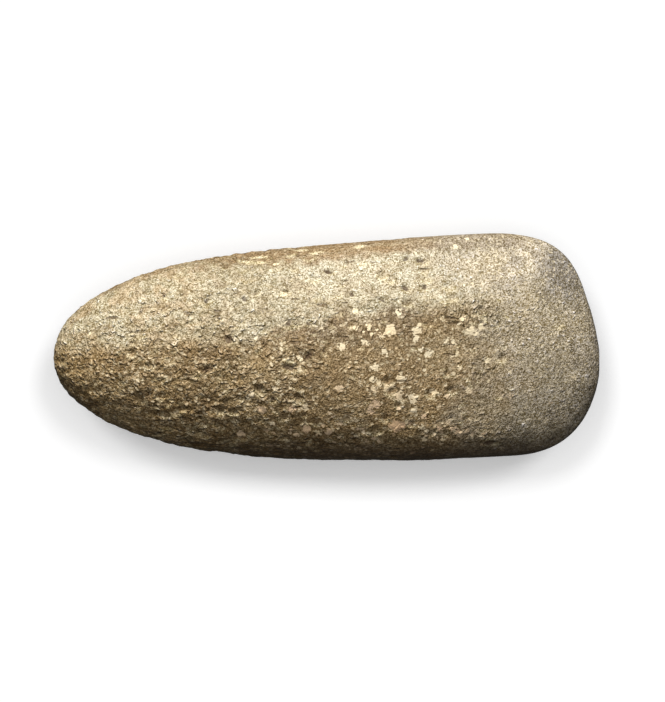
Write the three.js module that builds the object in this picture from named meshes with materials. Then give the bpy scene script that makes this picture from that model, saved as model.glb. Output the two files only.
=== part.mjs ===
// A ground and polished stone axe head (a celt): one solid of stone, lying on its back.
// The blunt, pecked butt points to -X and the ground cutting edge to +X. The front looks up, with
// the straighter long side, the crest, at +Y and the rounder one, the foot, at -Y. Millimetres,
// +Z up, origin under the middle of its box.
import * as THREE from "three";
import { mergeVertices } from "three/addons/utils/BufferGeometryUtils.js";

// Overall sizes.
const LENGTH = 150; // butt to cutting edge
const EDGE_DROP = 1.6; // how far the middle of the cutting edge lies below the butt's line, in Y
const REST_FLAT_DEPTH = 1.1; // how much of the back's belly is ground off as the spot it rests on

// The grid of a cube's faces that is pulled into the stone's form: along X, across Y, through Z.
const GRID = { along: 52, across: 20, through: 16 };

// The four outlines that bound the stone, each measured from its axis. width is the half size at
// the butt's end and grows by growth for each millimetre along. butt and bit say how each end
// closes: reach is how long the closing curve is, a higher power makes a squarer shoulder, and a
// root under 2 makes the very end less blunt.
const CREST = {
  width: 26.6,
  growth: 0.075,
  butt: { reach: 150, power: 6, root: 2 },
  bit: { reach: 45, power: 4.63, root: 1.5 },
};
const FOOT = {
  width: 33.9,
  growth: -0.066,
  butt: { reach: 139, power: 2.9, root: 2 },
  bit: { reach: 22.4, power: 2.37, root: 1.94 },
};
const FRONT = {
  width: 22.4,
  growth: -0.008,
  butt: { reach: 84, power: 2.5, root: 2 },
  bit: { reach: 5, power: 2, root: 2 },
};
const BACK = {
  width: 20.6,
  growth: -0.006,
  butt: { reach: 92, power: 2.4, root: 2 },
  bit: { reach: 5, power: 2, root: 2 },
};

// How the two faces thin towards the cutting edge: over reach, down to share of full thickness.
const FRONT_CHEEK = { reach: 84, power: 2.0, share: 0.15 };
const BACK_CHEEK = { reach: 76, power: 2.1, share: 0.15 };

// Squareness of the cross-section, as a superellipse's exponent: 2 is an ellipse. It is greatest
// at the cheeks, the ground faces behind the cutting edge.
const SECTION = { butt: 1.98, bit: 2.1, cheeks: { station: 112, spread: 27, extra: 0.5 } };

// Flat facets that grinding left on the front. Each is a plane that takes down what stands above
// it: at is a point on it (station, across, up), tilt leans it towards +Y and pitch towards the
// cutting edge, in degrees, and border softens its rim.
const FACETS = [
  { name: "upper bevel", at: [75, 11.5, 20.0], tilt: 28, pitch: -2, border: 0.8 },
  { name: "upper bevel by the edge", at: [106, 14.5, 16.2], tilt: 27, pitch: 7, border: 0.9 },
];

// Places that pecking and grinding wore down softly. Each is centred at a station along the stone
// and a turn around it, in degrees from +Y (0) over the front (90) and the foot (180) to the back
// (270), and fades out over its reach along and its spread around.
const WORN_PLACES = [
  { name: "front cheek", station: 118, turn: 100, reach: 38, spread: 50, depth: 0.9 },
  { name: "flake scar on the upper side", station: 57, turn: 24, reach: 13, spread: 13, depth: 0.9 },
  { name: "pecked hollow by the butt", station: 44, turn: 108, reach: 16, spread: 26, depth: 0.4 },
  { name: "pecked hollow in the middle", station: 90, turn: 128, reach: 18, spread: 22, depth: 0.35 },
  { name: "lower flank", station: 74, turn: 158, reach: 52, spread: 22, depth: 0.5 },
  { name: "back cheek", station: 118, turn: 268, reach: 34, spread: 46, depth: 0.9 },
  { name: "back bevel by the foot", station: 84, turn: 218, reach: 60, spread: 26, depth: 0.8 },
  { name: "back bevel by the crest", station: 70, turn: 318, reach: 60, spread: 26, depth: 0.8 },
  { name: "pecked hollow on the back", station: 36, turn: 285, reach: 16, spread: 28, depth: 0.5 },
];

// Rises from 0 at an end to 1 at reach, with a round end.
function closing(distance, { reach, power, root }) {
  const left = 1 - Math.min(distance / reach, 1);
  return (1 - left ** power) ** (1 / root);
}

// An outline's distance from the axis at a station.
function outline(profile, station) {
  const straight = profile.width + profile.growth * station;
  return straight * closing(station, profile.butt) * closing(LENGTH - station, profile.bit);
}

// The share of full thickness that a face keeps at a station.
function cheek({ reach, power, share }, station) {
  const left = 1 - Math.min((LENGTH - station) / reach, 1);
  return share + (1 - share) * (1 - left ** power);
}

// The cross-section's exponent at a station.
function squareness(station) {
  const { butt, bit, cheeks } = SECTION;
  const ends = THREE.MathUtils.lerp(butt, bit, station / LENGTH);
  return ends + cheeks.extra * Math.exp(-(((station - cheeks.station) / cheeks.spread) ** 2));
}

// How deep the worn places go at a station and a turn around the stone.
function wornDepth(station, turn) {
  let taken = 0;
  for (const place of WORN_PLACES) {
    const around = THREE.MathUtils.euclideanModulo(turn - place.turn + 180, 360) - 180;
    const away = Math.hypot((station - place.station) / place.reach, around / place.spread);
    if (away < 1) taken += place.depth * (1 - away ** 2) ** 2;
  }
  return taken;
}

// A point on a cube of half side 1, moved to an even place on the unit sphere.
function onSphere(cube) {
  const [x, y, z] = cube.toArray().map((v) => Math.tan((v * Math.PI) / 4));
  return new THREE.Vector3(x, y, z).normalize();
}

// The stone's surface in the direction of a point on the unit sphere.
function surfacePoint(direction) {
  const station = (LENGTH * (1 + direction.x)) / 2;
  const reach = Math.hypot(direction.y, direction.z);
  const axisY = (-EDGE_DROP * station) / LENGTH;
  if (reach < 1e-9) return new THREE.Vector3(station, axisY, 0);
  const across = direction.y / reach;
  const up = direction.z / reach;
  const n = squareness(station);
  const swell = (Math.abs(across) ** n + Math.abs(up) ** n) ** (-1 / n);
  const halfWidth = outline(across > 0 ? CREST : FOOT, station);
  const halfDepth =
    up > 0
      ? outline(FRONT, station) * cheek(FRONT_CHEEK, station)
      : outline(BACK, station) * cheek(BACK_CHEEK, station);
  const y = halfWidth * swell * across;
  const z = halfDepth * swell * up;
  const turn = THREE.MathUtils.radToDeg(Math.atan2(up, across));
  const kept = 1 - wornDepth(station, turn) / Math.hypot(y, z);
  return new THREE.Vector3(station, axisY + y * kept, z * kept);
}

// Takes down what stands above each facet's plane, with a soft border.
function grind(point) {
  for (const { at, tilt, pitch, border } of FACETS) {
    const lean = THREE.MathUtils.degToRad(tilt);
    const dip = THREE.MathUtils.degToRad(pitch);
    const normal = new THREE.Vector3(Math.sin(dip), Math.sin(lean), Math.cos(lean)).normalize();
    const above = normal.dot(point) - normal.dot(new THREE.Vector3(...at));
    const fade = THREE.MathUtils.smoothstep(above, -3 * border, 0);
    const taken = (fade * (above + Math.hypot(above, border))) / 2;
    point.addScaledVector(normal, -taken);
  }
  return point;
}

// How far the back's belly reaches below the axis at its deepest.
function bellyDepth() {
  let depth = 0;
  for (let station = 0; station <= LENGTH; station++)
    depth = Math.max(depth, outline(BACK, station) * cheek(BACK_CHEEK, station));
  return depth;
}

// The whole solid: a cube's grid pulled into form and set on its resting spot.
function stoneGeometry() {
  const box = new THREE.BoxGeometry(2, 2, 2, GRID.along, GRID.across, GRID.through);
  box.deleteAttribute("normal");
  box.deleteAttribute("uv");
  const geometry = mergeVertices(box);
  const vertices = geometry.getAttribute("position");
  const floor = REST_FLAT_DEPTH - bellyDepth();
  for (let i = 0; i < vertices.count; i++) {
    const cube = new THREE.Vector3().fromBufferAttribute(vertices, i);
    const point = grind(surfacePoint(onSphere(cube)));
    vertices.setXYZ(i, point.x, point.y, Math.max(point.z, floor));
  }
  geometry.computeBoundingBox();
  const middle = geometry.boundingBox.getCenter(new THREE.Vector3());
  geometry.translate(-middle.x, -middle.y, -floor);
  geometry.computeVertexNormals();
  return geometry;
}

const stone = new THREE.MeshStandardMaterial({ color: 0x8a7658, roughness: 0.55, metalness: 0 });
const axeHead = new THREE.Mesh(stoneGeometry(), stone);
axeHead.name = "axe_head";

const axe = new THREE.Group();
axe.add(axeHead);
export default axe;
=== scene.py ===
# %% [markdown]
# # A ground and polished stone axe head
# This lesson turns a plain, exact solid into a weathered stone tool. The stone was pecked into
# shape with a hammerstone, which left overlapping dimples on the butt and body, and its bit was
# then ground smooth on wet sandstone. All of it is one piece, so the work is in the skin: first
# real relief in the mesh, then colour, sheen and fine grain in the material.

# %% Load the frame
import math

import bmesh
import bpy
import numpy as np
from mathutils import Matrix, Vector, noise


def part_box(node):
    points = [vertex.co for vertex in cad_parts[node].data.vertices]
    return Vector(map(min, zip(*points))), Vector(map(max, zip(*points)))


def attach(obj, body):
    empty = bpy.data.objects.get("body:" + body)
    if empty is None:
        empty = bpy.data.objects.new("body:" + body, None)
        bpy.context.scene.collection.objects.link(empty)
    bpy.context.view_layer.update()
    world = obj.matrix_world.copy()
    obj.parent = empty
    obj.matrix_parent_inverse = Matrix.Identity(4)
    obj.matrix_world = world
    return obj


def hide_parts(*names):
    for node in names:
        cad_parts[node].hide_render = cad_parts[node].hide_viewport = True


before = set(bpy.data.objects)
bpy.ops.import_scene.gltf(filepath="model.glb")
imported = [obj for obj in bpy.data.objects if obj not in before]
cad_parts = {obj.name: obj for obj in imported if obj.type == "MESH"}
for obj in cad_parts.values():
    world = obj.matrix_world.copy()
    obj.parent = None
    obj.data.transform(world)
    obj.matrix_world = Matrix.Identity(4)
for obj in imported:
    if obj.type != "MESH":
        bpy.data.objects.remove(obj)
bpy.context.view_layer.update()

MM = 0.001
low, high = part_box("axe_head")
length = high.x - low.x
middle_height = (low.z + high.z) / 2
print("axe head", [round(side / MM, 1) for side in high - low], "mm")

# %% [markdown]
# ## The camera
# The axe head lies on a table and is seen from straight above, butt to the left. A long lens a
# good way off keeps the ends from swelling. The distance comes from the length of the stone and
# the share of the picture's width that it fills.

# %% Set the camera
PICTURE = (665, 702)
LENS = 100
SENSOR = 36
STONE_SHARE = 0.8226
AIM = Vector((1.73, -1.15, 0)) * MM  # the middle of the picture

camera_data = bpy.data.cameras.new("camera")
camera_data.lens = LENS
camera_data.sensor_width = SENSOR
camera = bpy.data.objects.new("camera", camera_data)
bpy.context.scene.collection.objects.link(camera)
bpy.context.scene.camera = camera
sensor_across = SENSOR * PICTURE[0] / PICTURE[1]
distance = LENS * (length / STONE_SHARE) / sensor_across
camera.location = AIM + Vector((0, 0, middle_height + distance))
print("camera", round(distance, 3), "m above the stone")

# %% [markdown]
# ## The blank
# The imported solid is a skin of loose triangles. They are welded and paired into quads, because
# a subdivision surface rounds quads evenly, and two rounds of it give a skin of half-millimetre
# faces: fine enough to carry peck marks as real dents.

# %% Make the fine blank
WELD = 1e-6
ROUNDS = 2


def quad_skin(node):
    """A mesh of a node's triangles, welded and paired into quads."""
    skin = bmesh.new()
    skin.from_mesh(node.data)
    bmesh.ops.remove_doubles(skin, verts=skin.verts, dist=WELD)
    bmesh.ops.join_triangles(
        skin,
        faces=skin.faces,
        angle_face_threshold=math.pi,
        angle_shape_threshold=math.pi,
    )
    mesh = bpy.data.meshes.new("blank")
    skin.to_mesh(mesh)
    skin.free()
    mesh.materials.clear()
    return mesh


def subdivided(mesh, rounds):
    """A smooth, finer copy of a mesh, with the subdivision applied."""
    holder = bpy.data.objects.new("holder", mesh)
    bpy.context.scene.collection.objects.link(holder)
    rounding = holder.modifiers.new("rounding", "SUBSURF")
    rounding.levels = rounds
    rounding.render_levels = rounds
    ready = holder.evaluated_get(bpy.context.evaluated_depsgraph_get())
    fine = bpy.data.meshes.new_from_object(ready)
    bpy.data.objects.remove(holder)
    return fine


blank = quad_skin(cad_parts["axe_head"])
stone_mesh = subdivided(blank, ROUNDS)
stone_mesh.name = "axe_stone"
print("blank", len(blank.polygons), "faces, fine skin", len(stone_mesh.polygons))

# %% [markdown]
# ## Measuring the skin
# The relief is worked out on arrays: one row for each vertex, with its place in millimetres and
# the way the skin faces there. A few helpers give each vertex a soft lump, a hammer cup, a crest
# or a share of a zone, and everything later is a sum of those.

# %% Measure the skin
count = len(stone_mesh.vertices)
flat = np.empty(count * 3)
stone_mesh.vertices.foreach_get("co", flat)
places = flat.reshape(-1, 3) / MM
facing = np.empty(count * 3)
stone_mesh.vertex_normals.foreach_get("vector", facing)
facing = facing.reshape(-1, 3)
x, y, z = places.T
print(count, "vertices measured")

# %% Helpers for relief
# noise_vector starts from the clock unless it is given a seed.
NOISE_SEED = 5
noise.seed_set(NOISE_SEED)
BEND_FINENESS = 1.7
CUP_REACH = 0.72
CREST_REACH = 0.55


def ramp(values, start, end):
    """0 before start, 1 after end and a smooth rise between."""
    share = np.clip((values - start) / (end - start), 0, 1)
    return share * share * (3 - 2 * share)


def noise_spots(size, shift, stretch):
    """Where to read the noise. Another shift reads another part of it, with other lumps."""
    return places / (size * np.array(stretch)) + shift


def lumps(size, shift, stretch=(1, 1, 1)):
    """Soft noise, about -1 to 1, with lumps of that size in millimetres."""
    return np.array([noise.noise(spot) for spot in noise_spots(size, shift, stretch)])


def cups(size, shift, stretch=(1, 1, 1), warp=0.35):
    """Overlapping cups of that size: 0 on the rims between them and -1 at the bottom."""
    spots = noise_spots(size, shift, stretch)
    bent = [Vector(spot) + warp * noise.noise_vector(spot * BEND_FINENESS) for spot in spots]
    near = np.array([noise.voronoi(spot)[0][0] for spot in bent])
    return np.minimum(near / CUP_REACH, 1) ** 2 - 1


def crests(size, shift, stretch=(1, 1, 1)):
    """Winding ridges of that size: 0 on the crests and -1 in the hollows between them."""
    return -np.minimum(np.abs(lumps(size, shift, stretch)) / CREST_REACH, 1)


print("helpers ready, noise seed", NOISE_SEED)

# %% Find the front, the bit and the butt
GRINDING_LINE = 43  # where grinding stopped, along the middle of the stone
LINE_BEND_UP = 0.018
LINE_BEND_DOWN = 0.004

front = ramp(facing[:, 2], -0.1, 0.35)
line_bend = LINE_BEND_UP * np.maximum(y, 0) ** 2 + LINE_BEND_DOWN * np.minimum(y, 0) ** 2
past_line = x - (GRINDING_LINE - line_bend)
polish = ramp(past_line + 4 * lumps(11, 31.0) + 2 * lumps(4, 37.0), -10, 8)
greyed = ramp(past_line + 9 * lumps(12, 35.0) + 6 * lumps(4.5, 39.0), -17, 17)
butt = 1 - ramp(x + 2 * lumps(8, 13.0), -26, 6)
print("skin measured,", round(float(polish.mean()) * 100), "% of it polished")

# %% [markdown]
# ## Pecking and grinding in relief
# A hammerstone crushes the surface into small cups that overlap, so their rims meet in sharp
# little ridges. They are deepest on the butt, worn soft on the body and ground away on the bit,
# but a few places on the body were never ground. Here two sizes of cup and two webs of crests lie
# on a slow, lumpy swell. The crests stand a little proud of the blank and the hollows sink below
# it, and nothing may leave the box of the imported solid, so the size stays true.

# %% Say where the pecking is rough
ROUGH_PLACES = [
    # seen from the front: x, y, half length, half width, turn in degrees, how rough
    (-9, 8.5, 16, 5, 8, 0.9),
    (14, 11.5, 18, 2.8, 1, 0.85),
    (38, 9.5, 9, 5.5, -12, 0.9),
    (42, -4, 4, 6, 0, 0.35),
    (-6, -4, 9, 4.5, 0, 0.9),
    (44, -24.5, 7, 3, 4, 0.6),
    (6, -24, 40, 3.5, 0, 0.75),
]
BODY_PECKED = 0.22
BACK_PECKED = 0.6
GROUND_AWAY = 0.92


def oval(centre_x, centre_y, half_length, half_width, turn):
    """How far each vertex lies from an oval's middle, seen from above: 1 is its rim."""
    angle = math.radians(turn)
    along = (x - centre_x) * math.cos(angle) + (y - centre_y) * math.sin(angle)
    across = (y - centre_y) * math.cos(angle) - (x - centre_x) * math.sin(angle)
    return np.hypot(along / half_length, across / half_width)


pecked = BODY_PECKED + (1 - BODY_PECKED) * butt
pecked = np.maximum(pecked, BACK_PECKED * (1 - front))
pecked = pecked * (1 - GROUND_AWAY * polish)
rough_wobble = 0.3 * lumps(5, 61.0)
for centre_x, centre_y, half_length, half_width, turn, share in ROUGH_PLACES:
    away = oval(centre_x, centre_y, half_length, half_width, turn) + rough_wobble
    pecked = np.maximum(pecked, share * (1 - ramp(away, 0.55, 1.25)) * front)
print("mean roughness", round(float(pecked.mean()), 2))

# %% Peck the butt and body
SWELL_DEPTH = 0.30
LUMP_DEPTH = 0.20
CUP_DEPTH = 0.20
SMALL_CUP_DEPTH = 0.18
CREST_DEPTH = 0.22
GRAIN_DEPTH = 0.06
OUTWARD = 0.12
OUTWARD_PECKED = 0.60

swell = lumps(17, 3.0) - 0.6
lump = lumps(5.5, 11.0) + 0.6 * lumps(3.1, 17.0) - 0.8
large_cups = cups(2.5, 5.0, stretch=(1.2, 1, 1))
small_cups = cups(1.6, 23.0, stretch=(1.15, 1, 1))
crest = crests(2.7, 47.0, stretch=(1.2, 1, 1)) + 0.6 * crests(1.7, 53.0)
fine_grain = lumps(1.2, 41.0) - 0.7

relief = SWELL_DEPTH * swell * (1 - 0.5 * polish)
relief = relief + LUMP_DEPTH * lump * (0.15 + 0.85 * pecked) * (1 - 0.6 * polish)
relief = relief + CUP_DEPTH * large_cups * pecked
relief = relief + SMALL_CUP_DEPTH * small_cups * pecked
relief = relief + CREST_DEPTH * crest * pecked
relief = relief + GRAIN_DEPTH * fine_grain * (1 - 0.6 * polish)
relief = relief + OUTWARD + OUTWARD_PECKED * pecked
print("relief from", round(float(relief.min()), 2), "to", round(float(relief.max()), 2), "mm")

# %% [markdown]
# The pecking takes the skin in a little, which would leave the corner of the bit too round. A
# second, gentler push lets the steep sides there swell back out to the full outline.

# %% Fill out the outline at the cutting edge
SHOULDER_OUTWARD = 0.9
EDGE_OUTWARD = 0.35

steep = 1 - ramp(facing[:, 2], 0.3, 0.8)
shoulder = (1 - ramp(oval(64, 24, 15, 9, -48), 0, 1)) * steep
edge_side = ramp(x, 58, 70) * steep
relief = relief + SHOULDER_OUTWARD * shoulder + EDGE_OUTWARD * edge_side
print("relief from", round(float(relief.min()), 2), "to", round(float(relief.max()), 2), "mm")

# %% [markdown]
# ## Pits and scars
# A few marks are big enough to know the stone by: a flake scar on the upper side, deep pits on
# the worn facet, a rough hollow on the body. Each is an oval dent with a steeper wall than a
# cup. Smaller pits are scattered by a seeded random draw, mostly over the pecked body. Besides
# its depth, each pit leaves two values for the material: how much soil it holds, and how much
# painted highlight its lower lip gets, where the wall turns towards the light.

# %% Cut the known marks
KNOWN_PITS = [
    # across the front: x, y, half length, half width, turn in degrees, depth, soil
    (-18.7, 24.4, 7.6, 2.3, 6, 0.9, 0.0),
    (21.5, 23.7, 0.9, 0.7, 40, 0.5, 0.8),
    (25.4, 23.3, 1.9, 0.8, -14, 0.7, 0.9),
    (21.2, 15.8, 1.5, 0.8, -18, 0.7, 0.6),
    (26.4, 16.1, 1.2, 0.8, 35, 0.6, 0.55),
    (0.5, 20.2, 1.7, 0.6, -16, 0.6, 0.8),
    (6.9, 13.9, 1.0, 0.8, 0, 0.5, 0.6),
    (14.6, 12.6, 1.7, 0.5, -25, 0.4, 0.5),
    (-10.1, 6.2, 1.3, 1.0, 20, 0.6, 0.6),
    (-21.8, 12.8, 1.6, 0.8, -30, 0.5, 0.5),
    (-19.0, 14.4, 1.3, 0.7, 10, 0.4, 0.4),
    (-25.8, 2.0, 1.9, 1.3, 5, 0.5, 0.5),
    (-9.6, -5.6, 2.8, 1.1, -12, 0.8, 0.6),
    (-4.8, -2.6, 2.2, 1.0, 35, 0.5, 0.5),
    (-31.5, -6.0, 2.4, 1.4, 20, 0.5, 0.4),
    (44.2, -25.9, 1.8, 0.8, 6, 0.6, 0.8),
    (47.7, -26.9, 1.0, 0.6, 15, 0.5, 0.6),
    (73.6, -14.6, 1.5, 1.1, 80, 0.5, 0.2),
    (61.8, -25.6, 1.8, 0.9, 40, 0.4, 0.3),
]

rim_wobble = 0.28 * lumps(1.6, 57.0)
marks = np.zeros(count)
soil = np.zeros(count)
lit_lips = np.zeros(count)
for centre_x, centre_y, half_length, half_width, turn, depth, share in KNOWN_PITS:
    away = oval(centre_x, centre_y, half_length, half_width, turn) + rim_wobble
    dent = depth * (1 - ramp(away, 0.35, 1.15)) * ramp(facing[:, 2], 0, 0.2)
    marks = np.maximum(marks, dent)
    soil = np.maximum(soil, share * (1 - ramp(away, 0.2, 1.0)) * front)
    # The lower lip faces the lamp and gets a painted highlight.
    lit_lip = (1 - ramp(np.abs(away - 1.15), 0.05, 0.45)) * ramp(centre_y - y, 0, 0.7)
    lit_lips = np.maximum(lit_lips, share * lit_lip)
print(len(KNOWN_PITS), "known marks, the deepest", round(float(marks.max()), 2), "mm")

# %% Scatter small pits
SEED = 7
PITS = 420
PIT_DEPTH = 0.42  # for each millimetre of radius
PIT_LIP_HIGHLIGHT = 0.8
chance = np.random.default_rng(SEED)
likely = (1 - 0.97 * polish) * (0.35 + 0.65 * ramp(lumps(14, 71.0), -0.4, 0.5))
picked = chance.choice(count, PITS, p=likely / likely.sum())
radii = chance.uniform(0.5, 1.35, PITS) ** 1.4
for middle, radius in zip(picked, radii):
    away = np.linalg.norm(places - places[middle], axis=1) / radius + rim_wobble
    marks = np.maximum(marks, PIT_DEPTH * radius * (1 - ramp(away, 0.3, 1.1)))
    # Under 0 a pit holds no soil. The handled front keeps little of it.
    held = chance.uniform(-0.8, 0.5) * (1 - 0.8 * ramp(places[middle, 0], 2, 12))
    soil = np.maximum(soil, held * (1 - ramp(away, 0.1, 0.9)))
    # The lower lip faces the lamp and gets a painted highlight.
    lit_lip = (1 - ramp(np.abs(away - 1.05), 0.1, 0.5)) * ramp(places[middle, 1] - y, 0, 0.4)
    lit_lips = np.maximum(lit_lips, PIT_LIP_HIGHLIGHT * lit_lip)
print(PITS, "small pits")

# %% [markdown]
# ## Crystals
# Pale feldspar crystals show where grinding cut through them, thickest over the middle of the
# body. The mesh only stores how far each vertex lies inside its nearest crystal, in millimetres.
# That changes slowly, so the material can find a sharp rim between vertices.

# %% Place the crystals
KNOWN_CRYSTALS = [
    # across the front: x, y, radius, and how pink it is
    (17.2, 4.3, 1.60, 0.1),
    (24.1, 4.3, 1.18, 0.1),
    (36.7, 7.6, 0.83, 0.0),
    (13.0, -5.5, 1.18, 0.1),
    (12.3, -8.6, 0.92, 0.0),
    (19.7, -8.6, 1.09, 0.1),
    (12.8, -11.3, 1.09, 0.3),
    (16.1, -11.0, 0.92, 0.2),
    (3.2, -11.0, 1.09, 0.6),
    (4.3, -0.1, 1.18, 0.1),
    (15.3, -1.2, 0.92, 0.0),
    (27.1, -2.0, 0.92, 0.0),
    (34.8, -2.0, 0.74, 0.0),
    (19.4, -13.2, 1.26, 0.4),
    (22.6, -13.2, 0.92, 0.2),
    (28.5, -12.1, 0.92, 0.1),
    (37.8, -11.6, 0.92, 0.2),
    (43.3, -3.6, 0.92, 0.0),
    (13.4, -15.4, 1.18, 0.9),
    (12.0, -17.3, 0.92, 0.9),
    (18.9, -21.0, 1.93, 1.0),
    (-9.1, -16.5, 0.92, 0.9),
    (-5.3, -22.0, 1.09, 0.9),
    (0.8, -22.5, 1.01, 0.8),
    (-22.8, -23.6, 1.09, 0.7),
    (-16.8, -16.8, 1.09, 0.8),
    (37.9, 4.0, 0.83, 0.0),
    (40.3, 3.5, 0.83, 0.1),
    (54.1, 9.5, 0.74, 0.0),
    (56.5, 4.0, 0.46, 0.0),
    (47.3, 19.3, 0.41, 0.0),
    (53.5, 16.9, 0.37, 0.0),
    (45.5, 24.6, 0.41, 0.0),
    (35.0, 27.2, 0.64, 0.0),
]
LOOSE_CRYSTALS = 560
CRYSTAL_SQUASH = 0.85
FAR_OUTSIDE = -3.0

inside = np.full(count, FAR_OUTSIDE)
pink = np.zeros(count)


def lay_crystal(spots, radius, pinkness):
    """Marks how far each vertex lies inside one crystal, where no other is nearer."""
    depth_in = radius - spots
    nearer = depth_in > inside
    inside[nearer] = depth_in[nearer]
    pink[nearer] = pinkness


for centre_x, centre_y, radius, pinkness in KNOWN_CRYSTALS:
    spots = oval(centre_x, centre_y, 1, CRYSTAL_SQUASH, 0) - FAR_OUTSIDE * (1 - front)
    lay_crystal(spots, radius, pinkness)
rich = ramp(x, -30, 12) * (1 - 0.9 * ramp(x, 36, 48)) * (0.25 + ramp(lumps(16, 83.0), -0.3, 0.4))
rich = rich * (0.04 + 0.96 * (1 - ramp(y, 4, 12))) + 0.008
picked = chance.choice(count, LOOSE_CRYSTALS, p=rich / rich.sum())
for middle in picked:
    radius = 0.28 + 0.55 * chance.random() ** 2.5
    spots = np.linalg.norm(places - places[middle], axis=1)
    lay_crystal(spots, radius, ramp(-places[middle, 1], 4, 20) * chance.random())
print(len(KNOWN_CRYSTALS) + LOOSE_CRYSTALS, "crystals")

# %% [markdown]
# ## Moving the skin
# Each vertex moves along the way it faces: out where a crest stands, in where a mark is cut. Near
# the resting spot the swell is held back, because that spot was made flat.

# %% Move the vertices
RESTING_DEPTH = 0.3  # how much of the small cups the flat spot keeps

resting = 1 - ramp(z, 0.05, 1.4)
relief = relief * (1 - resting) + resting * (RESTING_DEPTH * SMALL_CUP_DEPTH * small_cups)
moved = places + facing * (relief - marks)[:, None]
moved = np.clip(moved, np.array(low) / MM, np.array(high) / MM)
stone_mesh.vertices.foreach_set("co", (moved * MM).ravel())
stone_mesh.update()
for face in stone_mesh.polygons:
    face.use_smooth = True
stone = bpy.data.objects.new("axe_stone", stone_mesh)
bpy.context.scene.collection.objects.link(stone)
print("skin moved by", round(float(np.abs(relief - marks).max()), 2), "mm at most")

# %% [markdown]
# ## What the material has to know
# A material can't see how the relief was made, so each thing it needs is kept as a value on the
# vertices, under a name. Some come straight from the relief. Others are zones: the facet that
# handling wore pale, which faces the lamp and also carries a painted highlight, a darker band below
# its edge, the stained rim, and the bluish corner, where painted shade darkens the edge that turns
# away.

# %% Keep the relief's own values
def keep(name, values):
    """Stores one value for each vertex under a name that the material can read."""
    layer = stone_mesh.attributes.new(name, "FLOAT", "POINT")
    layer.data.foreach_set("value", np.asarray(values, np.float32))


RELIEF_VALUES = {
    "pits": marks,
    "soil": soil,
    "pecked": pecked,
    "greyed": greyed,
    "crystal": inside,
    "pink": pink,
    "hollow": -(large_cups + small_cups + crest) / 3 * pecked,
}
for name, values in RELIEF_VALUES.items():
    keep(name, values)
print("kept:", ", ".join(RELIEF_VALUES))

# %% Find the worn, lit facet and the darker band below it
FACET_ALONG = (-70, -50, -38, -24, -14, -7, 4, 20, 31)
FACET_ACROSS = (0, -1, -2, 0, 3, 5.5, 8, 9.5, 8)

facet_edge = np.interp(x, FACET_ALONG, FACET_ACROSS)
edge_wander = 3.5 * lumps(8, 107.0) + 2.4 * lumps(4, 101.0) + 1.2 * lumps(2.0, 103.0)
edge_width = 2.0 + 4.5 * (1 - ramp(x, -44, -20)) + 2.2 * ramp(x, 8, 30)
above_edge = ramp((y - facet_edge + edge_wander) / edge_width, -1, 1)
leaning = facing[:, 1] + 0.1 * lumps(6, 91.0) + 0.09 * (1 - ramp(x, -28, -8))
# The facet faces the lamp, so its pale colour is partly wear and partly a painted highlight.
worn_and_lit = ramp(leaning, 0.06, 0.3) * above_edge * front
keep("worn_and_lit", worn_and_lit)
# Below the facet's edge the colour is made darker.
below_edge = (1 - above_edge) * ramp(facing[:, 1], -0.05, 0.2) * ramp(x, -16, 2)
keep("skin", below_edge * (1 - ramp(x, 24, 46)))
print("worn facet over", round(float(worn_and_lit.mean()) * 100), "% of the skin")

# %% Find the upper rim and the bluish corner with its painted shade
RIM_ALONG = (-66, -60, -50, -36, -24, -12, 0, 6, 12, 24, 36)
RIM_ACROSS = (9.8, 14.4, 18.4, 21.2, 22.2, 22.9, 23.2, 24.2, 25, 25.6, 26.6)

rim_line = np.interp(x, RIM_ALONG, RIM_ACROSS)
upper_rim = ramp(y - rim_line + 1.5 * lumps(3, 105.0), -1.3, 0.9)
along_rim = 0.55 * ramp(x, -68, -58) + 0.45 * ramp(x, -36, -20) - 0.85 * ramp(x, 50, 58)
keep("upper_rim", upper_rim * along_rim)
# The corner and the cutting edge turn away from the lamp, so their darker colour is painted shade,
# with a bluish tint.
blue_shaded_corner = 1 - ramp(oval(65, 20.5, 9.5, 8, -55) + 0.3 * lumps(3, 97.0), 0.4, 1.2)
blue_shaded_edge = 0.4 * ramp(past_line + 1.5 * lumps(4, 99.0), 26, 32)
keep("blue_shaded_rim", np.maximum(blue_shaded_corner, blue_shaded_edge))
print("stained rim over", round(float(upper_rim.mean()) * 100), "% of the skin")

# %% [markdown]
# ### Fresh chips and painted highlights
# Crushed and chipped stone is paler than its old skin. The larger chips are placed one by one; on
# the flake scar's lower wall, which faces the lamp, that pale colour is a painted highlight. The
# small ones are drawn at random, mostly where the stone was pecked, and the lower lips of the
# pits, which face the lamp, get the same pale colour as a painted highlight.

# %% Lay the chips and the painted highlights
FRESH_AND_LIT_PLACES = [
    # where bare stone shows, and a painted highlight on the scar's lower wall: x, y, half length,
    # half width, turn in degrees
    (-20.3, 23.4, 5.0, 0.9, -6),
    (-18.5, 25.0, 3.2, 0.35, 4),
    (-9.5, 24.6, 2.0, 0.5, 12),
    (-7.0, 26.2, 2.2, 0.35, 0),
    (-3.0, 25.4, 2.4, 0.4, 8),
    (9.0, 27.2, 2.0, 0.6, 6),
    (43.4, -24.8, 1.7, 0.35, 0),
    (46.4, -26.1, 1.8, 0.3, -6),
    (55.5, -25.4, 1.2, 0.3, 20),
    (48.6, 7.9, 0.9, 0.35, -25),
    (42.7, 6.8, 1.0, 0.35, -35),
    (32.0, 11.8, 1.6, 0.4, -15),
    (46.4, 12.4, 0.6, 0.5, 20),
    (38.5, -10.1, 1.9, 0.35, -63),
    (-9.5, -4.0, 2.2, 0.5, -15),
    (-7.2, -6.4, 1.2, 0.4, 30),
    (-8.5, 5.0, 2.5, 0.5, 15),
]
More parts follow.
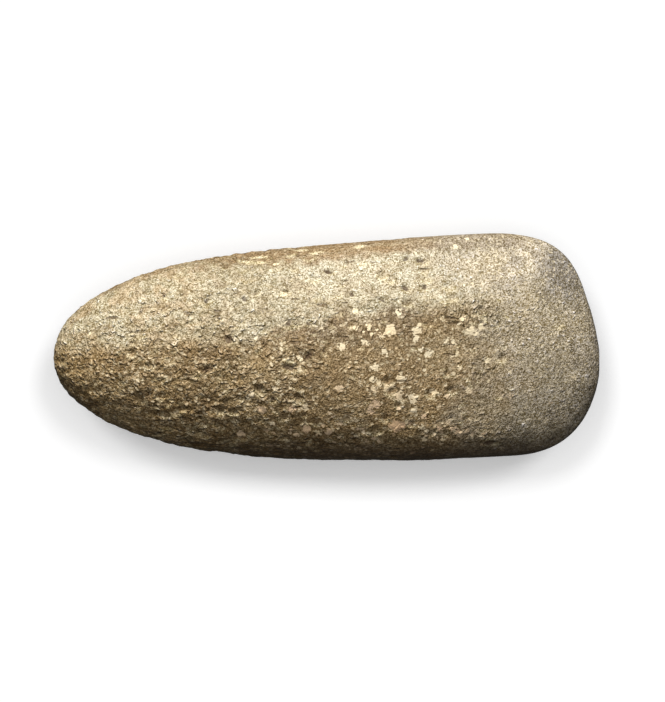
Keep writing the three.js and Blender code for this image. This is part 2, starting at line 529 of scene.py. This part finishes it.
LIP_HIGHLIGHT = 0.75
CHIPS = 300
CHIP_HALF_WIDTH = 0.45

# The lower lips of the pits get a painted highlight in the chips' pale colour.
fresh_and_lit = LIP_HIGHLIGHT * lit_lips
for centre_x, centre_y, half_length, half_width, turn in FRESH_AND_LIT_PLACES:
    away = oval(centre_x, centre_y, half_length, half_width, turn) + rim_wobble
    fresh_and_lit = np.maximum(fresh_and_lit, 1 - ramp(away, 0.6, 1.1))
chipped = (0.15 + pecked) * (1 - worn_and_lit) * front
picked = chance.choice(count, CHIPS, p=chipped / chipped.sum())
for middle in picked:
    turn = chance.uniform(-60, 60)
    half_length = chance.uniform(0.5, 1.5)
    away = oval(*places[middle, :2], half_length, CHIP_HALF_WIDTH, turn) + rim_wobble
    fresh_and_lit = np.maximum(fresh_and_lit, chance.uniform(0.2, 0.8) * (1 - ramp(away, 0.5, 1.1)))
keep("fresh_and_lit", fresh_and_lit * front)
print(len(FRESH_AND_LIT_PLACES) + CHIPS, "chips")

# %% [markdown]
# ## The stone's material
# One material paints the whole piece. It reads the place on the object, turned to millimetres,
# for everything that runs through the stone, and the values kept on the vertices for what the
# maker did to it. Small helpers keep the node building short: a number sets a socket, and a
# socket is linked.

# %% Helpers for nodes
def feed(tree, socket, source):
    """Sets a socket to a plain value, or links it to another socket."""
    if isinstance(source, bpy.types.NodeSocket):
        tree.links.new(source, socket)
    else:
        socket.default_value = source


def calculate(tree, operation, *terms):
    """A sum on one or more values, such as ADD or MULTIPLY."""
    node = tree.nodes.new("ShaderNodeMath")
    node.operation = operation
    for socket, term in zip(node.inputs, terms):
        feed(tree, socket, term)
    return node.outputs["Value"]


def rise(tree, value, start, end):
    """0 where the value is before start, 1 where it is past end."""
    node = tree.nodes.new("ShaderNodeMapRange")
    node.interpolation_type = "SMOOTHSTEP"
    feed(tree, node.inputs["Value"], value)
    node.inputs["From Min"].default_value = start
    node.inputs["From Max"].default_value = end
    return node.outputs["Result"]


def between(tree, value, low_end, high_end):
    """A value from 0 to 1, stretched to lie between two others."""
    node = tree.nodes.new("ShaderNodeMapRange")
    feed(tree, node.inputs["Value"], value)
    feed(tree, node.inputs["To Min"], low_end)
    feed(tree, node.inputs["To Max"], high_end)
    return node.outputs["Result"]


def mix(tree, share, first, second, way="MIX"):
    """Two colours put together: share is how much of the second there is."""
    node = tree.nodes.new("ShaderNodeMix")
    node.data_type = "RGBA"
    node.blend_type = way
    feed(tree, node.inputs["Factor"], share)
    feed(tree, node.inputs["A"], first)
    feed(tree, node.inputs["B"], second)
    return node.outputs["Result"]


def kept(tree, name):
    """The value that the mesh keeps under that name."""
    node = tree.nodes.new("ShaderNodeAttribute")
    node.attribute_name = name
    return node.outputs["Fac"]


def share_of(tree, *shares):
    """Several shares multiplied into one."""
    product = shares[0]
    for share in shares[1:]:
        product = calculate(tree, "MULTIPLY", product, share)
    return product


def vector_sum(tree, operation, first, second):
    """A sum on two vectors, such as ADD or MULTIPLY."""
    node = tree.nodes.new("ShaderNodeVectorMath")
    node.operation = operation
    feed(tree, node.inputs[0], first)
    feed(tree, node.inputs[1], second)
    return node.outputs["Vector"]


def shaded(tree, colour, factor):
    """A colour made lighter or darker by a factor, or a place brought to another scale."""
    node = tree.nodes.new("ShaderNodeVectorMath")
    node.operation = "SCALE"
    feed(tree, node.inputs[0], colour)
    feed(tree, node.inputs["Scale"], factor)
    return node.outputs["Vector"]


print("node helpers ready")

# %% [markdown]
# ### Recipes that are used at several sizes
# Mottling, grain, broken ridges and nicks are each needed more than once, so each is a node group:
# a recipe with named inputs that is built once and placed wherever it is needed, with its own
# size. Soft noise gives the mottling. A Voronoi texture cuts space into cells, which makes grains,
# and in some cells a small oval, which makes a nick. Ridged noise gives the broken look of stone.

# %% Start a group
def new_group(name, inputs, outputs):
    """An empty node group with those sockets, and its two end nodes."""
    group = bpy.data.node_groups.new(name, "ShaderNodeTree")
    for label, kind in inputs.items():
        group.interface.new_socket(label, in_out="INPUT", socket_type=kind)
    for label, kind in outputs.items():
        group.interface.new_socket(label, in_out="OUTPUT", socket_type=kind)
    return group, group.nodes.new("NodeGroupInput"), group.nodes.new("NodeGroupOutput")


def place_group(tree, group, place, size):
    """One use of a group, at a size in millimetres."""
    node = tree.nodes.new("ShaderNodeGroup")
    node.node_tree = group
    feed(tree, node.inputs["Place"], place)
    node.inputs["Size"].default_value = size
    return node


print("groups can be started and placed")

# %% Build the mottling and the grain
def build_mottle():
    """Soft cloudy patches: 0 to 1."""
    group, given, result = new_group(
        "mottle",
        {"Place": "NodeSocketVector", "Size": "NodeSocketFloat"},
        {"Cloud": "NodeSocketFloat"},
    )
    cloud = group.nodes.new("ShaderNodeTexNoise")
    cloud.inputs["Detail"].default_value = 3
    cloud.inputs["Roughness"].default_value = 0.55
    feed(group, cloud.inputs["Vector"], given.outputs["Place"])
    feed(group, cloud.inputs["Scale"], calculate(group, "DIVIDE", 1, given.outputs["Size"]))
    feed(group, result.inputs["Cloud"], rise(group, cloud.outputs["Fac"], 0.3, 0.7))
    return group


def build_grain():
    """Grains packed side by side: each has its own shade, and a height that falls to its rim."""
    group, given, result = new_group(
        "grain",
        {"Place": "NodeSocketVector", "Size": "NodeSocketFloat"},
        {"Shade": "NodeSocketFloat", "Height": "NodeSocketFloat"},
    )
    grain = group.nodes.new("ShaderNodeTexVoronoi")
    feed(group, grain.inputs["Vector"], given.outputs["Place"])
    feed(group, grain.inputs["Scale"], calculate(group, "DIVIDE", 1, given.outputs["Size"]))
    split = group.nodes.new("ShaderNodeSeparateColor")
    feed(group, split.inputs["Color"], grain.outputs["Color"])
    feed(group, result.inputs["Shade"], split.outputs["Red"])
    feed(group, result.inputs["Height"], calculate(group, "SUBTRACT", 1, grain.outputs["Distance"]))
    return group


mottle_group = build_mottle()
grain_group = build_grain()
print("groups:", mottle_group.name, "and", grain_group.name)

# %% Build the broken ridges and the nicks
NICK_WANDER = 0.6
NICK_SQUEEZE = (0.45, 1.9, 1)
NICK_SMALLEST = 0.10
NICK_LARGEST = 0.30
NICK_WALL = 0.1


def build_stony():
    """The broken surface of rough stone: sharp little ridges, with detail at every size."""
    group, given, result = new_group(
        "stony",
        {"Place": "NodeSocketVector", "Size": "NodeSocketFloat"},
        {"Height": "NodeSocketFloat"},
    )
    broken = group.nodes.new("ShaderNodeTexNoise")
    broken.noise_type = "RIDGED_MULTIFRACTAL"
    broken.normalize = True
    broken.inputs["Detail"].default_value = 3
    broken.inputs["Roughness"].default_value = 0.62
    broken.inputs["Distortion"].default_value = 0.5
    feed(group, broken.inputs["Vector"], given.outputs["Place"])
    feed(group, broken.inputs["Scale"], calculate(group, "DIVIDE", 1, given.outputs["Size"]))
    feed(group, result.inputs["Height"], broken.outputs["Fac"])
    return group


def build_nicks():
    """Small steep-walled dents, longer than wide, in some of the cells of an uneven net."""
    group, given, result = new_group(
        "nicks",
        {"Place": "NodeSocketVector", "Size": "NodeSocketFloat"},
        {"Depth": "NodeSocketFloat"},
    )
    wander = group.nodes.new("ShaderNodeTexNoise")
    feed(group, wander.inputs["Vector"], given.outputs["Place"])
    wander.inputs["Scale"].default_value = NICK_WANDER
    shifted = vector_sum(group, "ADD", given.outputs["Place"], wander.outputs["Color"])
    cells = group.nodes.new("ShaderNodeTexVoronoi")
    feed(group, cells.inputs["Vector"], vector_sum(group, "MULTIPLY", shifted, NICK_SQUEEZE))
    feed(group, cells.inputs["Scale"], calculate(group, "DIVIDE", 1, given.outputs["Size"]))
    split = group.nodes.new("ShaderNodeSeparateColor")
    feed(group, split.inputs["Color"], cells.outputs["Color"])
    near = between(group, split.outputs["Green"], NICK_SMALLEST, NICK_LARGEST)
    inner = calculate(group, "SUBTRACT", near, cells.outputs["Distance"])
    dent = rise(group, inner, 0, NICK_WALL)
    chosen = rise(group, split.outputs["Red"], 0.4, 0.8)
    feed(group, result.inputs["Depth"], calculate(group, "MULTIPLY", dent, chosen))
    return group


stony_group = build_stony()
nick_group = build_nicks()
print("groups:", stony_group.name, "and", nick_group.name)

# %% [markdown]
# ### Colour
# The body is a warm brown with tan and dark patches. Grinding has taken the brown skin off the
# bit, where the stone is greyer and paler, and the upper facet is worn pale and carries a painted
# highlight. The upper rim is stained, soil has settled in the pits, the lower flank and underside
# carry painted shade, and the crystals are cream, or pinkish towards the lower side. The colour is
# mixed from broad patches down to single grains, and each step is a short function that takes a
# colour and gives it back changed.

# %% Name the colours
DARK_BROWN = (0.120, 0.076, 0.034, 1)
BROWN = (0.264, 0.192, 0.105, 1)
TAN = (0.394, 0.308, 0.186, 1)
WORN_LIT_TAN = (0.422, 0.387, 0.297, 1)
BUTT_TAN = (0.404, 0.326, 0.226, 1)
BIT_GREY = (0.246, 0.215, 0.172, 1)
BIT_PALE = (0.440, 0.390, 0.312, 1)
BIT_YELLOW = (0.380, 0.328, 0.230, 1)
BIT_BLUE_SHADE = (0.215, 0.195, 0.170, 1)
RIM_STAIN = (0.225, 0.150, 0.075, 1)
RIM_GREY = (0.215, 0.177, 0.128, 1)
FRESH_AND_LIT = (0.60, 0.54, 0.38, 1)
# Dark soil in the pits; the same colour is the painted shade on the underside.
SOIL_AND_SHADE = (0.055, 0.030, 0.014, 1)
CREAM = (0.82, 0.71, 0.50, 1)
WARMTH = (1.04, 0.98, 0.88, 1)
PINK = (0.62, 0.44, 0.29, 1)
TONE_PARTS = (0.9, 1.0, 1.28)  # how much of a change of tone goes to red, green and blue


def toned(tree, colour, share, amount):
    """A colour, darker where share is 0 and lighter where it is 1. Dark turns warm, light pale."""
    dark = [1 - amount * part for part in TONE_PARTS] + [1]
    light = [1 + amount * part for part in TONE_PARTS] + [1]
    return mix(tree, 1, colour, mix(tree, share, dark, light), "MULTIPLY")


print("colours named")

# %% Read the textures that several steps share
BROAD = 13  # sizes in millimetres, from broad patches down to single grains
CLOUD = 6
PATCH = 3.5
RIDGE = 1.25
COARSE_GRAIN = 0.65
HAIR = 0.62
FINE_GRAIN = 0.28


def read_textures(tree, place):
    """What more than one step of the colour looks at, each as a value from 0 to 1."""
    cavity = place_group(tree, stony_group, place, RIDGE).outputs["Height"]
    hairs = place_group(tree, stony_group, place, HAIR).outputs["Height"]
    fine = place_group(tree, grain_group, place, FINE_GRAIN).outputs["Shade"]
    return {
        "greyed": kept(tree, "greyed"),
        "rough": rise(tree, kept(tree, "pecked"), 0.2, 0.6),
        "broad": place_group(tree, mottle_group, place, BROAD).outputs["Cloud"],
        "patches": place_group(tree, mottle_group, place, PATCH).outputs["Cloud"],
        "cavity": cavity,
        "hairs": rise(tree, hairs, 0.1, 0.9),
        "coarse": place_group(tree, grain_group, place, COARSE_GRAIN).outputs["Shade"],
        "fine": rise(tree, fine, 0.12, 0.88),
    }


print("finest grain", FINE_GRAIN, "mm")

# %% Mix the body, the worn facet and the bit
BUTT_PATCH = 4.5


def worn_lit_colour(tree, place, side):
    """The worn facet, pale from wear and from a painted highlight, with brown left in patches towards
    the butt.
    """
    butt_end = rise(tree, side["x"], -14, -42)
    left_brown = place_group(tree, mottle_group, place, BUTT_PATCH).outputs["Cloud"]
    left_brown = share_of(tree, rise(tree, left_brown, 0.4, 0.75), butt_end, 0.7)
    tone = mix(tree, left_brown, WORN_LIT_TAN, BUTT_TAN)
    return shaded(tree, tone, between(tree, butt_end, 1, 1.12))


def body_colour(tree, place, side, look, worn_and_lit):
    """The brown body, with the worn facet and its painted highlight on it."""
    tan = share_of(tree, look["broad"], between(tree, look["rough"], 0.75, 1))
    dark = share_of(tree, look["patches"], between(tree, look["rough"], 0.3, 0.5))
    body = mix(tree, tan, BROWN, TAN)
    body = mix(tree, dark, body, DARK_BROWN)
    return mix(tree, worn_and_lit, body, worn_lit_colour(tree, place, side))


def bit_colour(tree, place, look):
    """The ground bit: grey and pale, yellowish in places, and bluish with painted shade at the corner
    and along the edge.
    """
    ground = mix(tree, look["patches"], BIT_GREY, BIT_PALE)
    cloudy = place_group(tree, mottle_group, place, CLOUD).outputs["Cloud"]
    ground = toned(tree, ground, cloudy, 0.13)
    ground = mix(tree, share_of(tree, look["broad"], 0.5), ground, BIT_YELLOW)
    return mix(tree, kept(tree, "blue_shaded_rim"), ground, BIT_BLUE_SHADE)


print("body and bit ready")

# %% [markdown]
# The upper rim is stained brown, and the chips are fresher than the stain, so they go over it, with
# the painted highlights on lit lips and walls.
# Mixing in the order in which things happened keeps each step simple: a new layer only needs to
# know where it lies, not what is under it.

# %% Stain the rim, darken below the facet, and lay the fresh chips and painted highlights
def stained_chipped_and_lit(tree, colour, side, look, pale, streaks):
    """The stained upper rim, a darker band below the facet, the paler butt, and fresh chips with
    painted highlights on lit lips and walls.
    """
    stained = share_of(tree, kept(tree, "upper_rim"), between(tree, streaks, 0.65, 1.0))
    colour = mix(tree, stained, colour, mix(tree, look["greyed"], RIM_STAIN, RIM_GREY))
    # Below the facet's edge the colour is made darker.
    colour = shaded(tree, colour, between(tree, kept(tree, "skin"), 1, 0.7))
    toward_butt = share_of(tree, rise(tree, side["x"], -8, -40), between(tree, pale, 1, 0))
    colour = shaded(tree, colour, between(tree, toward_butt, 1, 1.15))
    # Fresh chips, and painted highlights on lit pit lips and the scar's lower wall.
    return mix(tree, kept(tree, "fresh_and_lit"), colour, FRESH_AND_LIT)


print("stains ready")

# %% [markdown]
# Close up, no two grains of this stone have the same shade. Random spots alone would look like
# sandpaper, so the colour follows the same ridged noise that the bump uses: the hollows get painted
# shade, and the crests turn to cream, partly for the pale dust that crushing leaves and partly as a
# painted highlight. Only then come the single grains.

# %% Break the colour up into ridges and grains
SPARKLE_GRAIN = 0.42


def ridged(tree, colour, look):
    """Painted shade in the hollows, and creamy crests: crushed dust and a painted highlight."""
    hollow_shade = rise(tree, look["cavity"], 0.1, 0.9)
    colour = shaded(tree, toned(tree, colour, hollow_shade, 0.36), 1.17)
    unground = between(tree, look["greyed"], 0.62, 0.2)
    crushed_and_lit = share_of(tree, rise(tree, look["cavity"], 0.42, 0.75), unground)
    bare = between(tree, look["patches"], 1, 0.3)
    crushed_and_lit = share_of(tree, crushed_and_lit, bare, between(tree, look["rough"], 0.25, 1))
    colour = mix(tree, crushed_and_lit, colour, CREAM)
    # The relief's own hollows get painted shade too, and the ground between them is lightened.
    return toned(tree, colour, kept(tree, "hollow"), -0.3)


def grained(tree, place, colour, look, pale):
    """Dark hairlines between light grains, and painted glints: a few grains painted cream as if they
    caught the light.
    """
    on_brown = between(tree, look["hairs"], 0.42, 1.25)
    on_pale = between(tree, look["hairs"], 0.51, 0.02)
    colour = toned(tree, colour, between(tree, pale, on_brown, on_pale), 0.85)
    colour = toned(tree, colour, look["fine"], 0.58)
    colour = toned(tree, colour, look["coarse"], 0.12)
    # Painted glints on the brown body.
    grain_glints = share_of(tree, rise(tree, look["coarse"], 0.88, 0.94), between(tree, pale, 0.4, 0.12))
    colour = mix(tree, grain_glints, colour, CREAM)
    # Painted glints on the ground bit as well.
    glints = place_group(tree, grain_group, place, SPARKLE_GRAIN).outputs["Shade"]
    on_bit = between(tree, look["greyed"], 0.08, 0.42)
    return mix(tree, share_of(tree, rise(tree, glints, 0.86, 0.92), on_bit), colour, CREAM)


print("ridges and grains ready")

# %% [markdown]
# A crystal has a sharp rim, sharper than the faces of the mesh. The mesh keeps how deep inside a
# crystal each vertex lies, and the material cuts that slow slope at zero, with noise added, which
# gives a crisp and uneven rim. Soil is cut from its own slope in the same way.

# %% Set in the crystals and the soil
RIM_GRAIN = 0.6


def crystal_mask(tree, place):
    """1 inside the crystals, with a rim broken along the grains."""
    broken = place_group(tree, grain_group, place, RIM_GRAIN).outputs["Shade"]
    inside_now = calculate(tree, "ADD", kept(tree, "crystal"), between(tree, broken, -0.45, 0.42))
    return rise(tree, inside_now, -0.02, 0.06)


def with_crystals(tree, place, colour, look):
    """Cream or pinkish crystals, with fine cracks."""
    tone = mix(tree, kept(tree, "pink"), CREAM, PINK)
    cracked = share_of(tree, rise(tree, look["cavity"], 0.3, 0.7), 0.45)
    cracked = calculate(tree, "MAXIMUM", cracked, share_of(tree, look["fine"], 0.35))
    tone = mix(tree, cracked, tone, TAN)
    return mix(tree, crystal_mask(tree, place), colour, tone)


def with_soil(tree, colour, look):
    """Soil in the pits, with an edge broken along the grains."""
    ragged = calculate(tree, "ADD", kept(tree, "soil"), between(tree, look["hairs"], 0.05, -0.25))
    ragged = calculate(tree, "ADD", ragged, between(tree, look["coarse"], -0.12, 0.12))
    return mix(tree, share_of(tree, rise(tree, ragged, 0.15, 0.45), 0.8), colour, SOIL_AND_SHADE)


print("crystals and soil ready")

# %% [markdown]
# Last come the things that lie over everything: warmer patches, small nicks darkened with painted
# shade, and the dark lower side. That side is painted darker as well as shaded by the lamps, because
# the lamps alone left it too light.

# %% Warm it in places, paint shade into the nicks and on the lower side
WARM_PATCH = 8
NICK_SPACING = 3.2


def warmed_and_nicked(tree, place, colour, look, pale):
    """Warmer patches, most of all where the stone is brown, and small nicks darkened with painted
    shade.
    """
    warmth = place_group(tree, mottle_group, place, WARM_PATCH).outputs["Cloud"]
    warmed = share_of(tree, warmth, between(tree, pale, 1, 0.4))
    colour = mix(tree, warmed, colour, WARMTH, "MULTIPLY")
    nicks = place_group(tree, nick_group, place, NICK_SPACING).outputs["Depth"]
    nicked = share_of(tree, nicks, between(tree, look["greyed"], 0.75, 0.15))
    # Painted shade in the nicks.
    return mix(tree, nicked, colour, DARK_BROWN)


def lower_side_painted_shade(tree, colour, side, look, streaks):
    """Painted shade: the darker lower half of the bit and the dark underside, with lighter streaks
    along the flank.
    """
    # Painted shade on the lower half of the bit.
    lower_bit_shade = share_of(tree, rise(tree, side["y"], 2, -20), look["greyed"])
    colour = shaded(tree, colour, between(tree, lower_bit_shade, 1, 0.56))
    flank = share_of(tree, rise(tree, side["y"], -14, -20), streaks)
    flank = share_of(tree, flank, between(tree, rise(tree, side["x"], 2, 22), 1, 0.5))
    colour = shaded(tree, colour, between(tree, flank, 0.95, 1.6))
    # Painted shade on the underside.
    underside_shade = rise(tree, side["y"], -22.5, -30)
    return mix(tree, share_of(tree, underside_shade, 0.7), colour, SOIL_AND_SHADE)


print("last touches ready")

# %% Mix the whole colour
STREAK = 1.6
STREAK_STRETCH = (0.25, 1, 1)


def stone_colour(tree, place, side):
    """The colour of the stone, from broad patches down to single grains."""
    look = read_textures(tree, place)
    long_place = vector_sum(tree, "MULTIPLY", place, STREAK_STRETCH)
    streaks = place_group(tree, mottle_group, long_place, STREAK).outputs["Cloud"]
    # The pale facet is partly wear and partly a painted highlight.
    worn_and_lit = share_of(tree, kept(tree, "worn_and_lit"), between(tree, look["patches"], 1.15, 0.55))
    pale = calculate(tree, "MAXIMUM", worn_and_lit, look["greyed"])
    body = body_colour(tree, place, side, look, worn_and_lit)
    colour = mix(tree, look["greyed"], body, bit_colour(tree, place, look))
    colour = stained_chipped_and_lit(tree, colour, side, look, pale, streaks)
    colour = ridged(tree, colour, look)
    colour = grained(tree, place, colour, look, pale)
    colour = with_crystals(tree, place, colour, look)
    colour = with_soil(tree, colour, look)
    colour = warmed_and_nicked(tree, place, colour, look, pale)
    return lower_side_painted_shade(tree, colour, side, look, streaks)


print("streaks", STREAK, "mm across")

# %% [markdown]
# ### Sheen and fine grain
# Handling has left a satin sheen on some grains, while the pits stay dull. The finest relief is
# too small for the mesh, so a Bump node tilts the light on it: broken ridges, small pecks, tiny
# grain and nicks. It is strongest on the pecked butt, and faint on the ground bit.

# %% Measure the place on the stone
TO_MILLIMETRES = 1 / MM


def place_on_stone(tree):
    """The place on the piece in millimetres, and its separate sides."""
    object_place = tree.nodes.new("ShaderNodeTexCoord").outputs["Object"]
    scaled = shaded(tree, object_place, TO_MILLIMETRES)
    apart = tree.nodes.new("ShaderNodeSeparateXYZ")
    feed(tree, apart.inputs["Vector"], scaled)
    return scaled, {"x": apart.outputs["X"], "y": apart.outputs["Y"]}


print("millimetres to a metre:", round(TO_MILLIMETRES))

# %% Raise the fine grain
PECK = 1.4
TINY_GRAIN = 0.38
RIDGE_HEIGHT = 0.85
PECK_HEIGHT = -0.25
TINY_HEIGHT = 0.12


def grain_height(tree, place):
    """The height of the fine grain, in millimetres."""
    stony = place_group(tree, stony_group, place, RIDGE).outputs["Height"]
    pecks = place_group(tree, grain_group, place, PECK).outputs["Height"]
    height = share_of(tree, stony, RIDGE_HEIGHT)
    height = calculate(tree, "ADD", height, share_of(tree, pecks, PECK_HEIGHT))
    height = share_of(tree, height, between(tree, kept(tree, "pecked"), 0.38, 1.15))
    tiny = place_group(tree, grain_group, place, TINY_GRAIN).outputs["Height"]
    height = calculate(tree, "ADD", height, share_of(tree, tiny, TINY_HEIGHT))
    nicks = place_group(tree, nick_group, place, NICK_SPACING).outputs["Depth"]
    nicked = share_of(tree, nicks, between(tree, kept(tree, "greyed"), -0.3, -0.06))
    height = calculate(tree, "ADD", height, nicked)
    return share_of(tree, height, between(tree, crystal_mask(tree, place), 1, 0.5))


print("bump from", TINY_GRAIN, "to", PECK, "mm")

# %% Build the material
SHEEN_GRAIN = 0.55
SHINIEST = 0.34
DULLEST_GRAIN = 0.56
PIT_DULLNESS = 0.25
SPECULAR = 0.28


def build_stone():
    """Brown, pecked and ground stone."""
    material = bpy.data.materials.new("stone")
    material.use_nodes = True
    tree = material.node_tree
    shader = tree.nodes["Principled BSDF"]
    place, side = place_on_stone(tree)
    feed(tree, shader.inputs["Base Color"], stone_colour(tree, place, side))
    dull = share_of(tree, rise(tree, kept(tree, "pits"), 0.05, 0.4), PIT_DULLNESS)
    grain = place_group(tree, grain_group, place, SHEEN_GRAIN).outputs["Shade"]
    roughness = calculate(tree, "ADD", between(tree, grain, SHINIEST, DULLEST_GRAIN), dull)
    feed(tree, shader.inputs["Roughness"], roughness)
    shader.inputs["Specular IOR Level"].default_value = SPECULAR
    bump = tree.nodes.new("ShaderNodeBump")
    bump.inputs["Strength"].default_value = 1
    bump.inputs["Distance"].default_value = MM
    feed(tree, bump.inputs["Height"], grain_height(tree, place))
    feed(tree, shader.inputs["Normal"], bump.outputs["Normal"])
    return material


stone_mesh.materials.clear()
stone_mesh.materials.append(build_stone())
print("material on", stone.name)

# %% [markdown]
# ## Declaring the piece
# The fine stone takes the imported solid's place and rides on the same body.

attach(stone, "root")
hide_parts("axe_head")
print("pieces:", stone.name)

# %% [markdown]
# ## Table and light
# The table is plain white. A long softbox stands low behind the upper side, a little to the butt
# side: low light is what makes pecked stone show its texture. A wide one overhead fills the
# shaded flank. Three more lamps light only the table, which keeps it white and its shadow soft.

# %% Make the table
TABLE_SIZE = 6
TABLE_WHITE = (0.9, 0.9, 0.9, 1)
TABLE_ROUGHNESS = 0.9
TABLE_GLOW = 0.275


def build_table():
    """A wide white table top at the height of the stone's resting spot."""
    top = bmesh.new()
    bmesh.ops.create_grid(top, x_segments=1, y_segments=1, size=TABLE_SIZE / 2)
    mesh = bpy.data.meshes.new("table")
    top.to_mesh(mesh)
    top.free()
    material = bpy.data.materials.new("table_white")
    material.use_nodes = True
    shader = material.node_tree.nodes["Principled BSDF"]
    shader.inputs["Base Color"].default_value = TABLE_WHITE
    shader.inputs["Roughness"].default_value = TABLE_ROUGHNESS
    shader.inputs["Emission Color"].default_value = TABLE_WHITE
    shader.inputs["Emission Strength"].default_value = TABLE_GLOW
    mesh.materials.append(material)
    table = bpy.data.objects.new("table", mesh)
    bpy.context.scene.collection.objects.link(table)
    table.visible_diffuse = False
    table.visible_glossy = False
    return table


table = build_table()
print("table", TABLE_SIZE, "m wide")

# %% Light the stone and the table
def aim_at_stone(lamp, azimuth, elevation, away):
    """Stands a lamp that far away in a direction, facing the stone."""
    turn = math.radians(azimuth)
    climb = math.radians(elevation)
    level = away * math.cos(climb)
    lamp.location = (level * math.cos(turn), level * math.sin(turn), away * math.sin(climb))
    lamp.rotation_euler = (-lamp.location).to_track_quat("-Z", "Y").to_euler()


def softbox(name, width, height, power, azimuth, elevation, away):
    """A rectangular area lamp that faces the stone."""
    data = bpy.data.lights.new(name, "AREA")
    data.shape = "RECTANGLE"
    data.size = width
    data.size_y = height
    data.energy = power
    lamp = bpy.data.objects.new(name, data)
    bpy.context.scene.collection.objects.link(lamp)
    aim_at_stone(lamp, azimuth, elevation, away)
    return lamp


def only_lights(lamp, *objects):
    """Limits a lamp to these objects."""
    group = bpy.data.collections.new(lamp.name + "_lights")
    for item in objects:
        group.objects.link(item)
    lamp.light_linking.receiver_collection = group


KEY_SIDES = (0.26, 0.2)
KEY_POWER = 15
KEY_COLOUR = (1, 0.985, 0.95)
FILL_SIDES = (0.7, 0.7)
FILL_POWER = 3.0
LAMP_DISTANCE = 0.9

key = softbox("key_softbox", *KEY_SIDES, KEY_POWER, azimuth=101, elevation=33, away=LAMP_DISTANCE)
fill = softbox("fill_softbox", *FILL_SIDES, FILL_POWER, azimuth=100, elevation=82, away=LAMP_DISTANCE)
key.data.color = KEY_COLOUR
only_lights(key, stone)
only_lights(fill, stone)
print("lamps:", key.name, fill.name)

# %% Light the table
TABLE_LAMPS = [
    # name, strength, softness, azimuth and elevation in degrees
    ("table_lamp_left", 0.80, 16, 128, 60),
    ("table_lamp_right", 0.78, 16, 44, 60),
    ("table_lamp_above", 1.26, 60, 90, 89),
]

for name, strength, softness, azimuth, elevation in TABLE_LAMPS:
    data = bpy.data.lights.new(name, "SUN")
    data.energy = strength
    data.angle = math.radians(softness)
    lamp = bpy.data.objects.new(name, data)
    bpy.context.scene.collection.objects.link(lamp)
    aim_at_stone(lamp, azimuth, elevation, away=1)
    only_lights(lamp, table)
print(len(TABLE_LAMPS), "lamps for the table")

# %% Set the room
ROOM_WHITE = (1, 1, 1, 1)
ROOM_LIGHT = 0.05

room = bpy.data.worlds.new("room")
bpy.context.scene.world = room
room.use_nodes = True
tree = room.node_tree
background = tree.nodes["Background"]
background.inputs["Color"].default_value = ROOM_WHITE
seen = tree.nodes.new("ShaderNodeLightPath").outputs["Is Camera Ray"]
feed(tree, background.inputs["Strength"], between(tree, seen, ROOM_LIGHT, 1))
bpy.context.scene.view_settings.view_transform = "Standard"
print("room light", ROOM_LIGHT)
